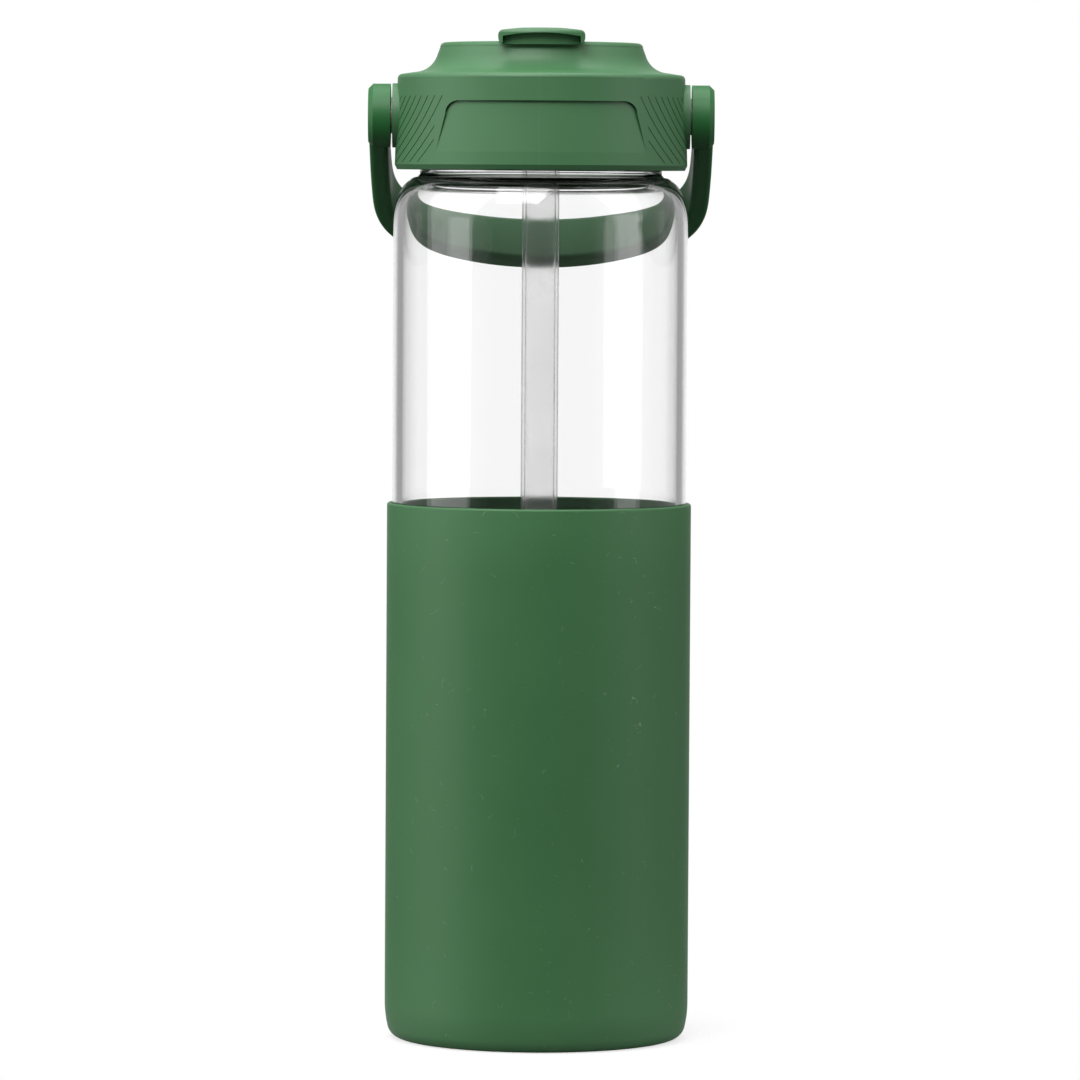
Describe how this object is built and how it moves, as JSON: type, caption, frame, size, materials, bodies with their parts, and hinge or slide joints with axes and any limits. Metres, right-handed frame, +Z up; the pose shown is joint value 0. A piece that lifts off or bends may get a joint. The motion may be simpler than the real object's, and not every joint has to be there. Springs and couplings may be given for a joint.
{
  "type": "water bottle",
  "caption": "Glass water bottle with a silicone sleeve, a screw lid with a flip-up spout and straw, and a swinging carry handle.",
  "frame": {"origin": "centre of the flat base on the surface that it stands on", "axes": "+Z up along the bottle's axis, -Y to the front of the lid where the spout's lip is, +Y to the carry handle, +X to the right"},
  "size_m": [0.0862, 0.0864, 0.252],
  "materials": {
    "borosilicate_glass": "clear polished",
    "sleeve_silicone": "soft satin",
    "seal_silicone": "translucent satin",
    "lid_plastic": "fine moulded satin",
    "liner_plastic": "moulded satin",
    "straw_plastic": "frosted translucent",
    "screw_steel": "turned",
    "washer_plastic": "smooth",
    "handle_plastic": "fine moulded satin",
    "spout_plastic": "fine moulded satin",
    "mouthpiece_silicone": "soft satin"
  },
  "bodies": {
    "bottle": {"glass_bottle": "borosilicate_glass", "silicone_sleeve": "sleeve_silicone"},
    "neck_seal": {"neck_gasket": "seal_silicone"},
    "lid": {"lid_shell": "lid_plastic", "threaded_liner": "liner_plastic", "spout_cradle": "liner_plastic", "cradle_o_ring": "seal_silicone", "port_seal": "seal_silicone", "straw_socket": "seal_silicone", "drinking_straw": "straw_plastic", "vent_valve": "seal_silicone", "pivot_screw_left": "screw_steel", "pivot_screw_right": "screw_steel", "pivot_washer_left": "washer_plastic", "pivot_washer_right": "washer_plastic"},
    "handle": {"carry_handle": "handle_plastic", "pivot_cap_left": "handle_plastic", "pivot_cap_right": "handle_plastic"},
    "spout": {"flip_spout": "spout_plastic", "spout_mouthpiece": "mouthpiece_silicone"}
  },
  "joints": [
    {"name": "lid_rise", "type": "slide", "parent": "bottle", "child": "neck_seal", "axis": [0, 0, 1], "range_m": [0, 0.00417]},
    {"name": "lid_turn", "type": "hinge", "parent": "neck_seal", "child": "lid", "pos_m": [0, 0, 0.2305], "axis": [0, 0, 1], "range_deg": [0, 300]},
    {"name": "handle_swing", "type": "hinge", "parent": "lid", "child": "handle", "pos_m": [0, 0, 0.2305], "axis": [1, 0, 0], "range_deg": [0, 253]},
    {"name": "spout_flip", "type": "hinge", "parent": "lid", "child": "spout", "pos_m": [0, 0, 0.244], "axis": [-1, 0, 0], "range_deg": [0, 90]}
  ],
  "couplings": [
    {"joint": "lid_turn", "follows": "lid_rise", "rad_per_m": 1256.6}
  ]
}
